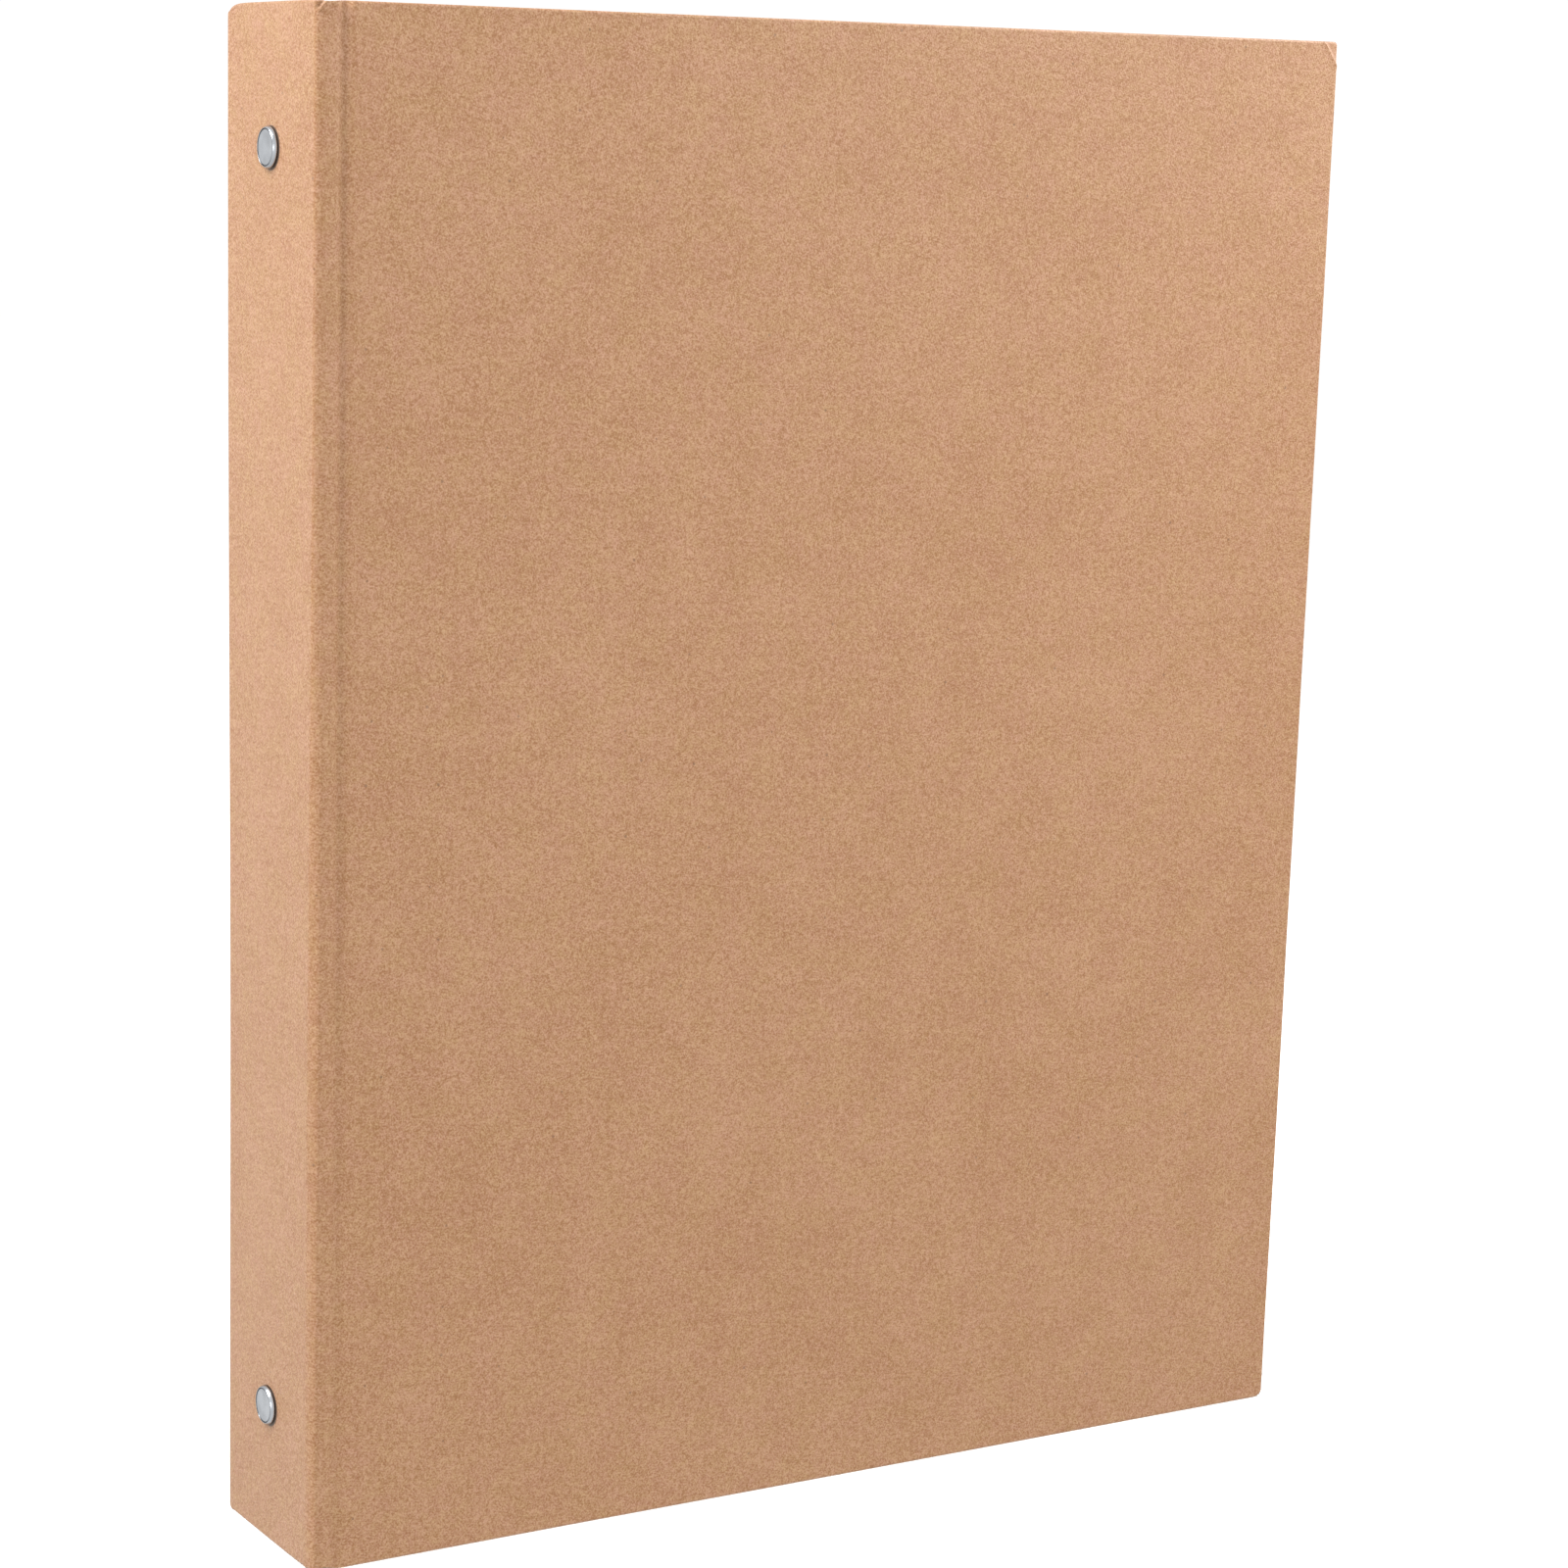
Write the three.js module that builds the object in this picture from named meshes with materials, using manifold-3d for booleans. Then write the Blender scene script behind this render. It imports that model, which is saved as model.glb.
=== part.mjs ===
// A kraft-paper ring album, standing on its lower edges: a spine and two covers of board in a kraft wrap,
// with a four-ring metal mechanism riveted inside the spine.
// Millimetres. +Z runs up the spine, +X from the spine to the fore edge, and the front cover faces -Y.
// The origin is the middle of the album's box, at the surface that it stands on.
import * as THREE from 'three';
import { mergeVertices } from 'three/addons/utils/BufferGeometryUtils.js';
import Module from 'manifold-3d';

const wasm = await Module();
wasm.setup();

// ---------- driving dimensions ----------

const HEIGHT = 315; // covers and spine
const DEPTH = 248; // spine face to fore edge
const THICKNESS = 44; // outside of one cover to the outside of the other
const BOARD = 1.8;
const WRAP = 0.3;
const LINER = 0.2;
const GLUE = 0.1; // the film between two pasted layers
const TURN_IN = 16; // wrap folded over each board edge to the inside
const LINER_MARGIN = 4; // the liner stops short of the edges
const JOINT_WIDTH = 8.2; // unboarded strip between the spine face and a cover board
const GROOVE_X = 6.4; // bottom of the pressed groove, from the spine face
const GROOVE_DEPTH = 1.1;
const CORNER_SET_IN = 1; // the creases sit this far inside the cover faces
const HINGE_GAP = 0.6; // cleared on each side of a cover's crease
const SPINE_CORNER_LENGTH = 12; // the spine board's corners slope off over this length of its ends
const SPINE_CORNER_DROP = 2.2;

const RING_PITCH = 80;
const RING_RADIUS = 13.4; // middle of the wire
const WIRE_RADIUS = 1.75;
const TIP_GAP = 0.3;
const RIVET_PITCH = 257.7;
const MECHANISM_LIFT = 0.9; // the mechanism's middle above the spine's
const RIVET_HEAD_RADIUS = 4.2;
const RIVET_HEAD_RISE = 1.2;
const SHANK_RADIUS = 2.2;
const POST_RADIUS = 3;
const RUNNING_GAP = 0.3; // round a shank, pin or tenon

const HOUSING_HALF_LENGTH = 141;
const HOUSING_HALF_WIDTH = 12.4;
const HOUSING_TOP = 7.8; // above the spine's liner
const HOUSING_SIDE_TOP = 3.6; // where the arch springs from its side wall
const SHEET = 0.8;
const LIP_BOTTOM = 0.6;
const LIP_WIDTH = 2.8;

const BLADE_THICKNESS = 0.9;
const BLADE_HALF_LENGTH = 134.5;
const BLADE_PIVOT_Y = 11.2;
const BLADE_PIVOT_H = 2.5;
const BLADE_INNER_Y = 0.25;
const BLADE_TILT = THREE.MathUtils.degToRad(6); // inner edge below the pivot while the rings are closed
const RING_LEG_Y = 8.2;
const TENON_RADIUS = 1;

const LEVER_PIN_Z = 138; // from the middle of the mechanism
const LEVER_PIN_H = 2.4;
const LEVER_PIN_RADIUS = 0.9;

// ---------- places worked out from them ----------

const SPINE_X = -(DEPTH + RIVET_HEAD_RISE) / 2 + RIVET_HEAD_RISE;
const FORE_X = SPINE_X + DEPTH;
const FACE_Y = -THICKNESS / 2; // the front cover's outer face
const MECHANISM_Z = HEIGHT / 2 + MECHANISM_LIFT;
const BOARD_IN = WRAP + GLUE; // depth of each layer under the outer face
const FLAP_IN = BOARD_IN + BOARD + GLUE;
const LINER_IN = FLAP_IN + WRAP + GLUE;
const INSIDE_IN = LINER_IN + LINER;
const MECHANISM_X = SPINE_X + INSIDE_IN + GLUE; // heights of the mechanism count from here
const HINGE_X = SPINE_X + 0.8;
const HINGE_Y = FACE_Y + CORNER_SET_IN;
const RING_CENTRE_H = 13.84;
const RING_Z = [-1.5, -0.5, 0.5, 1.5].map((step) => step * RING_PITCH);

// ---------- materials ----------

const kraft = new THREE.MeshStandardMaterial({ color: '#c8976c', roughness: 0.9, metalness: 0 });
const kraftLining = new THREE.MeshStandardMaterial({ color: '#c39268', roughness: 0.92, metalness: 0 });
const greyBoard = new THREE.MeshStandardMaterial({ color: '#8d8374', roughness: 0.95, metalness: 0 });
const nickel = new THREE.MeshStandardMaterial({ color: '#c9cacc', roughness: 0.22, metalness: 1 });

// ---------- shape helpers ----------

// A solid from a closed geometry; only the position attribute matters to a boolean.
function solid(geometry) {
  const bare = geometry.index ? geometry.toNonIndexed() : geometry.clone();
  bare.deleteAttribute('normal');
  bare.deleteAttribute('uv');
  const merged = mergeVertices(bare, 1e-4);
  return new wasm.Manifold(new wasm.Mesh({
    numProp: 3,
    vertProperties: merged.attributes.position.array,
    triVerts: new Uint32Array(merged.index.array),
  }));
}

function geometryOf(shape) {
  const mesh = shape.getMesh();
  const geometry = new THREE.BufferGeometry();
  geometry.setAttribute('position', new THREE.BufferAttribute(mesh.vertProperties, 3));
  geometry.setIndex(new THREE.BufferAttribute(mesh.triVerts, 1));
  const faceted = geometry.toNonIndexed();
  faceted.computeVertexNormals();
  return faceted;
}

const join = (first, ...rest) => rest.reduce((whole, part) => whole.add(part), first);
const cut = (first, ...rest) => rest.reduce((whole, part) => whole.subtract(part), first);

function box(x0, x1, y0, y1, z0, z1) {
  const geometry = new THREE.BoxGeometry(x1 - x0, y1 - y0, z1 - z0);
  geometry.translate((x0 + x1) / 2, (y0 + y1) / 2, (z0 + z1) / 2);
  return solid(geometry);
}

// An outline in the XY plane, raised from z0 to z1.
function upright(points, z0, z1) {
  const outline = new THREE.Shape(points.map(([x, y]) => new THREE.Vector2(x, y)));
  const geometry = new THREE.ExtrudeGeometry(outline, { depth: z1 - z0, bevelEnabled: false });
  geometry.translate(0, 0, z0);
  return solid(geometry);
}

// A round bar along X, between two mechanism heights.
function barX(radius, h0, h1, y, z, sides = 16) {
  const geometry = new THREE.CylinderGeometry(radius, radius, h1 - h0, sides);
  geometry.rotateZ(-Math.PI / 2);
  geometry.translate(MECHANISM_X + (h0 + h1) / 2, y, z);
  return solid(geometry);
}

// A round bar along Y.
function barY(radius, y0, y1, h, z, sides = 16) {
  const geometry = new THREE.CylinderGeometry(radius, radius, y1 - y0, sides);
  geometry.translate(MECHANISM_X + h, (y0 + y1) / 2, z);
  return solid(geometry);
}

function piece(name, shape, material) {
  const geometry = shape.isBufferGeometry ? shape : geometryOf(shape);
  const mesh = new THREE.Mesh(geometry, material);
  mesh.name = name;
  return mesh;
}

const rivetZ = (end) => MECHANISM_Z + end * RIVET_PITCH / 2;

// ---------- covers ----------

// The front cover; the back one is its mirror image.
function coverWrap() {
  const stripX = HINGE_X + HINGE_GAP;
  const grooveX = SPINE_X + GROOVE_X;
  const boardX = SPINE_X + JOINT_WIDTH;
  const sheet = upright([
    [stripX, HINGE_Y - WRAP],
    [grooveX, FACE_Y + GROOVE_DEPTH],
    [boardX + BOARD_IN, FACE_Y],
    [FORE_X, FACE_Y],
    [FORE_X, FACE_Y + FLAP_IN + WRAP],
    [FORE_X - TURN_IN, FACE_Y + FLAP_IN + WRAP],
    [FORE_X - TURN_IN, FACE_Y + FLAP_IN],
    [FORE_X - WRAP, FACE_Y + FLAP_IN],
    [FORE_X - WRAP, FACE_Y + WRAP],
    [boardX + BOARD_IN, FACE_Y + WRAP],
    [grooveX, FACE_Y + GROOVE_DEPTH + WRAP],
    [stripX, HINGE_Y],
  ], 0, HEIGHT);
  const edges = [[0, WRAP], [HEIGHT - WRAP, HEIGHT]].map(([z0, z1]) =>
    box(boardX + BOARD_IN, FORE_X, FACE_Y, FACE_Y + FLAP_IN + WRAP, z0, z1));
  const flaps = [[0, TURN_IN], [HEIGHT - TURN_IN, HEIGHT]].map(([z0, z1]) =>
    box(boardX + BOARD_IN, FORE_X, FACE_Y + FLAP_IN, FACE_Y + FLAP_IN + WRAP, z0, z1));
  return join(sheet, ...edges, ...flaps);
}

function coverBoard() {
  const near = SPINE_X + JOINT_WIDTH + BOARD_IN;
  const outside = FACE_Y + BOARD_IN;
  return box(near, FORE_X - BOARD_IN, outside, outside + BOARD, BOARD_IN, HEIGHT - BOARD_IN);
}

// The lining paper follows the joint strip, climbs the board's edge and covers the inside.
function coverLiner() {
  const stripX = HINGE_X + HINGE_GAP;
  const grooveX = SPINE_X + GROOVE_X;
  const boardX = SPINE_X + JOINT_WIDTH;
  const stripY = HINGE_Y + GLUE;
  const grooveY = FACE_Y + GROOVE_DEPTH + WRAP + GLUE;
  const insideY = FACE_Y + LINER_IN;
  const shoulder = boardX - BOARD_IN;
  return upright([
    [stripX, stripY],
    [grooveX, grooveY],
    [shoulder, insideY],
    [FORE_X - LINER_MARGIN, insideY],
    [FORE_X - LINER_MARGIN, insideY + LINER],
    [shoulder - LINER, insideY + LINER],
    [grooveX - LINER, grooveY + LINER],
    [stripX, stripY + LINER],
  ], LINER_MARGIN, HEIGHT - LINER_MARGIN);
}

function cover(side) {
  const group = new THREE.Group();
  group.scale.y = side === 'front' ? 1 : -1;
  group.add(piece(`${side}_board`, coverBoard(), greyBoard));
  group.add(piece(`${side}_wrap`, coverWrap(), kraft));
  group.add(piece(`${side}_liner`, coverLiner(), kraftLining));
  return group;
}

// ---------- spine ----------

function rivetHoles() {
  const span = [-INSIDE_IN - 1, 1];
  return [-1, 1].map((end) => barX(SHANK_RADIUS + RUNNING_GAP, ...span, 0, rivetZ(end)));
}

// The spine's board, its corners sloped so that the paper folds over them at the creases.
function spineBoard(halfWidth) {
  const low = BOARD_IN;
  const high = HEIGHT - BOARD_IN;
  const flat = halfWidth - SPINE_CORNER_LENGTH;
  const outline = new THREE.Shape([
    [-flat, low],
    [flat, low],
    [halfWidth, low + SPINE_CORNER_DROP],
    [halfWidth, high - SPINE_CORNER_DROP],
    [flat, high],
    [-flat, high],
    [-halfWidth, high - SPINE_CORNER_DROP],
    [-halfWidth, low + SPINE_CORNER_DROP],
  ].map(([y, z]) => new THREE.Vector2(y, z)));
  const geometry = new THREE.ExtrudeGeometry(outline, { depth: BOARD, bevelEnabled: false });
  // The outline's axes become Y and Z, and its depth runs along X.
  geometry.applyMatrix4(new THREE.Matrix4().makeBasis(
    new THREE.Vector3(0, 1, 0), new THREE.Vector3(0, 0, 1), new THREE.Vector3(1, 0, 0)));
  geometry.translate(SPINE_X + BOARD_IN, 0, 0);
  return solid(geometry);
}

function spine() {
  const edgeY = -HINGE_Y - HINGE_GAP;
  const boardY = edgeY - BOARD_IN;
  const flapX = SPINE_X + FLAP_IN;
  const board = spineBoard(boardY);
  const face = box(SPINE_X, SPINE_X + WRAP, -edgeY, edgeY, 0, HEIGHT);
  const edges = [[0, WRAP], [HEIGHT - WRAP, HEIGHT]].map(([z0, z1]) =>
    box(SPINE_X, flapX + WRAP, -boardY, boardY, z0, z1));
  const flaps = [[0, TURN_IN], [HEIGHT - TURN_IN, HEIGHT]].map(([z0, z1]) =>
    box(flapX, flapX + WRAP, -boardY, boardY, z0, z1));
  const liner = box(SPINE_X + LINER_IN, SPINE_X + INSIDE_IN, -boardY, boardY,
    LINER_MARGIN, HEIGHT - LINER_MARGIN);

  const group = new THREE.Group();
  group.add(piece('spine_board', cut(board, ...rivetHoles()), greyBoard));
  group.add(piece('spine_wrap', cut(join(face, ...edges, ...flaps), ...rivetHoles()), kraft));
  group.add(piece('spine_liner', cut(liner, ...rivetHoles()), kraftLining));
  return group;
}

// ---------- ring mechanism ----------

// The arched sheet-steel housing: its springiness snaps the blades open and shut.
function housing() {
  const rise = HOUSING_TOP - HOUSING_SIDE_TOP;
  const radius = (HOUSING_HALF_WIDTH ** 2 + rise ** 2) / (2 * rise);
  const centre = HOUSING_TOP - radius;
  const sweep = Math.asin(HOUSING_HALF_WIDTH / radius);
  const arch = (r, from, to, steps = 14) => Array.from({ length: steps + 1 }, (_, i) => {
    const angle = from + (to - from) * i / steps;
    return [MECHANISM_X + centre + r * Math.cos(angle), r * Math.sin(angle)];
  });
  const inner = radius - SHEET;
  const innerSweep = Math.asin((HOUSING_HALF_WIDTH - SHEET) / inner);
  const foot = (side) => [
    [MECHANISM_X + LIP_BOTTOM + SHEET, side * (HOUSING_HALF_WIDTH - SHEET)],
    [MECHANISM_X + LIP_BOTTOM + SHEET, side * (HOUSING_HALF_WIDTH - LIP_WIDTH)],
    [MECHANISM_X + LIP_BOTTOM, side * (HOUSING_HALF_WIDTH - LIP_WIDTH)],
    [MECHANISM_X + LIP_BOTTOM, side * (HOUSING_HALF_WIDTH - SHEET)],
    [MECHANISM_X + LIP_BOTTOM + SHEET, side * HOUSING_HALF_WIDTH],
  ];
  const sheet = upright([
    ...arch(radius, -sweep, sweep),
    ...foot(1).reverse(),
    ...arch(inner, innerSweep, -innerSweep),
    ...foot(-1),
  ], MECHANISM_Z - HOUSING_HALF_LENGTH, MECHANISM_Z + HOUSING_HALF_LENGTH);

  const notchHalf = WIRE_RADIUS + 0.65;
  const notchInner = RING_LEG_Y - WIRE_RADIUS - 0.65;
  const notchFloor = LIP_BOTTOM + SHEET + 0.9;
  const notches = RING_Z.flatMap((z) => [-1, 1].map((side) => {
    const ends = [side * notchInner, side * (HOUSING_HALF_WIDTH + 1)].sort((a, b) => a - b);
    return box(MECHANISM_X + notchFloor, MECHANISM_X + HOUSING_TOP + 1, ...ends,
      MECHANISM_Z + z - notchHalf, MECHANISM_Z + z + notchHalf);
  }));
  const shankHoles = [-1, 1].map((end) =>
    barX(SHANK_RADIUS + RUNNING_GAP, 0, HOUSING_TOP + 1, 0, rivetZ(end)));
  const pinHoles = [-1, 1].map((end) => barY(LEVER_PIN_RADIUS + 0.2, -HOUSING_HALF_WIDTH - 1,
    HOUSING_HALF_WIDTH + 1, LEVER_PIN_H, MECHANISM_Z + end * LEVER_PIN_Z, 12));
  return cut(sheet, ...notches, ...shankHoles, ...pinHoles);
}

// One of the two long blades under the housing; side is -1 towards the front cover.
function blade(side) {
  const length = BLADE_PIVOT_Y - BLADE_INNER_Y;
  const outer = 0.2; // reach of the blade past its pivot line
  const half = BLADE_THICKNESS / 2;
  const corner = (along, up) => [
    MECHANISM_X + BLADE_PIVOT_H - along * Math.sin(BLADE_TILT) + up * Math.cos(BLADE_TILT),
    side * (BLADE_PIVOT_Y - along * Math.cos(BLADE_TILT) - up * Math.sin(BLADE_TILT)),
  ];
  const outline = [
    corner(-outer, -half),
    corner(length, -half),
    corner(length, half),
    corner(-outer, half),
  ];
  const strip = upright(outline, MECHANISM_Z - BLADE_HALF_LENGTH, MECHANISM_Z + BLADE_HALF_LENGTH);
  const postNotches = [-1, 1].map((end) =>
    barX(POST_RADIUS + 2 * RUNNING_GAP, 0, HOUSING_TOP, 0, rivetZ(end)));
  const tenonHoles = RING_Z.map((z) =>
    barX(TENON_RADIUS + RUNNING_GAP, 0, HOUSING_TOP, side * RING_LEG_Y, MECHANISM_Z + z, 10));
  return cut(strip, ...postNotches, ...tenonHoles);
}

// Half a ring: a leg out of the blade, then the wire round to its tip on the mid-plane.
function ringHalf(side, z) {
  const firstAngle = THREE.MathUtils.degToRad(-34);
  const lastAngle = THREE.MathUtils.degToRad(94);
  const steps = 10;
  const legFoot = BLADE_PIVOT_H + 0.75;
  const at = (y, h) => new THREE.Vector3(MECHANISM_X + h, side * y, MECHANISM_Z + z);
  const route = [at(RING_LEG_Y, legFoot), at(RING_LEG_Y + 0.35, legFoot + 1.3)];
  for (let i = 0; i <= steps; i += 1) {
    const angle = firstAngle + (lastAngle - firstAngle) * i / steps;
    route.push(at(RING_RADIUS * Math.cos(angle), RING_CENTRE_H + RING_RADIUS * Math.sin(angle)));
  }
  const wireSides = 10;
  const section = new THREE.Shape(Array.from({ length: wireSides }, (_, i) => {
    const angle = 2 * Math.PI * i / wireSides;
    return new THREE.Vector2(WIRE_RADIUS * Math.cos(angle), WIRE_RADIUS * Math.sin(angle));
  }));
  const wire = solid(new THREE.ExtrudeGeometry(section, {
    steps: 22,
    bevelEnabled: false,
    extrudePath: new THREE.CatmullRomCurve3(route),
  }));
  const pastTip = [-side * 4, side * TIP_GAP / 2].sort((a, b) => a - b);
  const tipX = MECHANISM_X + RING_CENTRE_H + RING_RADIUS;
  const trim = box(tipX - 4, tipX + 4, ...pastTip, MECHANISM_Z + z - 4, MECHANISM_Z + z + 4);
  const tenon = barX(TENON_RADIUS, legFoot - 1.7, legFoot + 0.5, side * RING_LEG_Y, MECHANISM_Z + z, 10);
  const half = join(cut(wire, trim), tenon);

  // The front half's tip ends in a short cone, which seats in a dimple of the back half's.
  const cone = (radius, tip, y0, y1) => {
    const geometry = new THREE.CylinderGeometry(tip, radius, y1 - y0, 12);
    geometry.translate(tipX, (y0 + y1) / 2, MECHANISM_Z + z);
    return solid(geometry);
  };
  return side < 0 ? join(half, cone(1.05, 0.5, -1, 0.9)) : cut(half, cone(1.3, 0.75, 0, 1.4));
}

// A round head, dished inside its rim, a shank through the spine, and an end clinched over the housing.
function rivet(end) {
  const under = -INSIDE_IN - 2 * GLUE; // the head's seat, as a mechanism height
  const top = under + GLUE - RIVET_HEAD_RISE;
  const clinch = HOUSING_TOP + 0.15;
  const profile = [
    [0, top + 0.35],
    [2.6, top + 0.3],
    [3.1, top + 0.05],
    [3.6, top],
    [4.05, top + 0.3],
    [RIVET_HEAD_RADIUS, under - 0.25],
    [RIVET_HEAD_RADIUS - 0.2, under],
    [SHANK_RADIUS, under],
    [SHANK_RADIUS, clinch],
    [3.1, clinch + 0.1],
    [3, clinch + 0.6],
    [SHANK_RADIUS, clinch + 0.85],
    [1.3, clinch + 0.5],
    [0, clinch + 0.4],
  ].map(([r, h]) => new THREE.Vector2(r, h));
  const geometry = new THREE.LatheGeometry(profile, 20);
  geometry.rotateZ(-Math.PI / 2);
  geometry.translate(MECHANISM_X, 0, rivetZ(end));
  return solid(geometry);
}

function rivetPost(end) {
  const top = HOUSING_TOP - SHEET - 0.4;
  const bore = barX(SHANK_RADIUS + RUNNING_GAP, -1, HOUSING_TOP, 0, rivetZ(end));
  return cut(barX(POST_RADIUS, 0.1, top, 0, rivetZ(end)), bore);
}

// A side-view outline of the lever, as steps out from and up from its pin, given width along Y.
function leverSlice(outline, width, end) {
  const shape = new THREE.Shape(outline.map(([out, up]) => new THREE.Vector2(out, up)));
  const geometry = new THREE.ExtrudeGeometry(shape, { depth: width, bevelEnabled: false });
  geometry.translate(0, 0, -width / 2);
  // The outline's first axis goes along Z away from the middle, its second along X.
  const basis = new THREE.Matrix4().makeBasis(
    new THREE.Vector3(0, 0, end), new THREE.Vector3(1, 0, 0), new THREE.Vector3(0, end, 0));
  geometry.applyMatrix4(basis);
  geometry.translate(MECHANISM_X + LEVER_PIN_H, 0, MECHANISM_Z + end * LEVER_PIN_Z);
  return solid(geometry);
}

// A toe under the blades' ends, an eye round the pin, an arm out of the housing and a thumb tab.
function lever(end) {
  const toe = [[-5.5, -2.3], [-1, -1.75], [0, 0], [-2.2, -1.75], [-5.5, -1.85]];
  const arm = [[-0.8, -1.55], [0.8, -1.55], [2.6, -0.9], [9.4, 2.4], [9.1, 3.8], [1.6, 1.4], [-0.8, 1.55]];
  const tab = [[8.3, 1.9], [9.6, 2.4], [11.9, 7], [13.6, 14.2], [12.3, 14.6], [10.7, 7.4], [8.2, 3.2]];
  const eye = barY(1.8, -4.5, 4.5, LEVER_PIN_H, MECHANISM_Z + end * LEVER_PIN_Z);
  const bore = barY(LEVER_PIN_RADIUS + 0.2, -6, 6, LEVER_PIN_H, MECHANISM_Z + end * LEVER_PIN_Z, 12);
  const whole = join(leverSlice(toe, 3.2, end), eye, leverSlice(arm, 9, end), leverSlice(tab, 16, end));
  return cut(whole, bore);
}

function leverPin(end) {
  const reach = HOUSING_HALF_WIDTH + 0.4;
  return barY(LEVER_PIN_RADIUS, -reach, reach, LEVER_PIN_H, MECHANISM_Z + end * LEVER_PIN_Z, 12);
}

function mechanism() {
  const group = new THREE.Group();
  group.add(piece('ring_housing', housing(), nickel));
  for (const [side, name] of [[-1, 'front'], [1, 'back']]) {
    group.add(piece(`${name}_blade`, blade(side), nickel));
    RING_Z.forEach((z, i) => {
      group.add(piece(`${name}_ring_half_${i + 1}`, ringHalf(side, z), nickel));
    });
  }
  for (const [end, name] of [[-1, 'lower'], [1, 'upper']]) {
    group.add(piece(`${name}_rivet`, rivet(end), nickel));
    group.add(piece(`${name}_rivet_post`, rivetPost(end), nickel));
    group.add(piece(`${name}_lever`, lever(end), nickel));
    group.add(piece(`${name}_lever_pin`, leverPin(end), nickel));
  }
  return group;
}

const album = new THREE.Group();
album.add(cover('front'), cover('back'), spine(), mechanism());

export default album;
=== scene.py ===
"""Looks of the kraft ring album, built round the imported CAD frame.

Metres, +Z up, spine towards -X, front cover towards -Y. Lengths are written in millimetres times MM.
The paper is built in plan, as (x, depth): x from the spine's face towards the fore edge, and depth from
a cover's outer face towards the inside. Both covers are the same sheets, mirrored.
"""

import math

import bpy
import numpy as np
from mathutils import Matrix, Vector, noise


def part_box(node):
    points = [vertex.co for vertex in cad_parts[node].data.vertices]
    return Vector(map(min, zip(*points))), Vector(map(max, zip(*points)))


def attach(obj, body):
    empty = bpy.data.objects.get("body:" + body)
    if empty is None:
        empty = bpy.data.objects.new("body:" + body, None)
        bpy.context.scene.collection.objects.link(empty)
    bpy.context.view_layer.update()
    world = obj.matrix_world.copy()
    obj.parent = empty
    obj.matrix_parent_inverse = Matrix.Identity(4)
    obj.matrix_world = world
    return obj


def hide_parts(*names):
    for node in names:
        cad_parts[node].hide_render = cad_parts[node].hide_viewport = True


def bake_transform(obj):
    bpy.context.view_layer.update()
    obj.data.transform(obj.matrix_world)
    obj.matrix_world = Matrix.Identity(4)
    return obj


MM = 0.001
FRONT, BACK = -1, 1

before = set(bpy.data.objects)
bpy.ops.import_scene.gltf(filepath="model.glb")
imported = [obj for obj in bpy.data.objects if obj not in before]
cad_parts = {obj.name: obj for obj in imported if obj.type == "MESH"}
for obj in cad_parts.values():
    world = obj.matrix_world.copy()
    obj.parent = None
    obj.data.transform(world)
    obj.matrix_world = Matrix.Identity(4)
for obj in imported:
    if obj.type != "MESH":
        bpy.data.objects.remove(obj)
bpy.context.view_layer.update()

# ---------- places from the frame ----------

wrap_low, wrap_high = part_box("front_wrap")
SPINE_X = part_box("spine_wrap")[0].x
FACE = -wrap_low.y  # distance of a cover's outer face from the middle plane
HEIGHT = wrap_high.z
WIDTH = wrap_high.x - SPINE_X
MIDDLE_Z = HEIGHT / 2
RIVET_ZS = [sum(corner.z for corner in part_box(f"{word}_rivet")) / 2 for word in ("upper", "lower")]

# ---------- sizes of the paper ----------

COVER_THICKNESS = 2.6 * MM  # board between its two layers of paper
PAPER = 0.35 * MM
LINER = 0.22 * MM
LINER_GAP = 0.03 * MM
LINER_MARGIN = 4 * MM
TURN_IN = 16 * MM  # width of the paper that is folded over a cover's edges to its inside
TURN_IN_STEP = 0.18 * MM
TURN_IN_SLOPE = 0.6 * MM  # half the width over which the lining runs down from it
SPINE_BOARD_EDGE = 2.1 * MM  # depth at which the spine's board ends
SPINE_FLAT_END = 4.8 * MM  # the spine's face is flat beyond this depth
GROOVE_HALF_WIDTH = 2.0 * MM
BOARD_X = 8.4 * MM  # where a cover's board starts
COVER_FLAT_X = 9.8 * MM
FORE_ZONE = 8 * MM  # strip along the fore edge with a finer mesh
EDGE_RADIUS = 0.5 * MM
CORNER_RADII = {"bottom": 2.0 * MM, "top": 0.9 * MM}

# The crease and the joint strip at the album's two ends: the crease's radii along x and depth, the
# strip's depth, and the place and depth of the pressed groove, which fades downwards.
FOLDS = {
    "bottom": {"radii": (1.3 * MM, 3.4 * MM), "strip": 0.25 * MM, "groove": (5.2 * MM, 0.52 * MM)},
    "top": {"radii": (2.6 * MM, 1.2 * MM), "strip": 0.4 * MM, "groove": (5.95 * MM, 1.05 * MM)},
}
# Where the paper stops short of the boards' ends at a crease: by how much, and over what length of the
# spine that fades.
RISES = {
    (FRONT, "bottom"): (0.7 * MM, 4.0 * MM),
    (FRONT, "top"): (0.25 * MM, 2.0 * MM),
    (BACK, "bottom"): (0.9 * MM, 1.3 * MM),
    (BACK, "top"): (2.6 * MM, 1.7 * MM),
}
RISE_FADE_X = (2.4 * MM, 6.2 * MM)  # along the joint strip it fades between these
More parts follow.
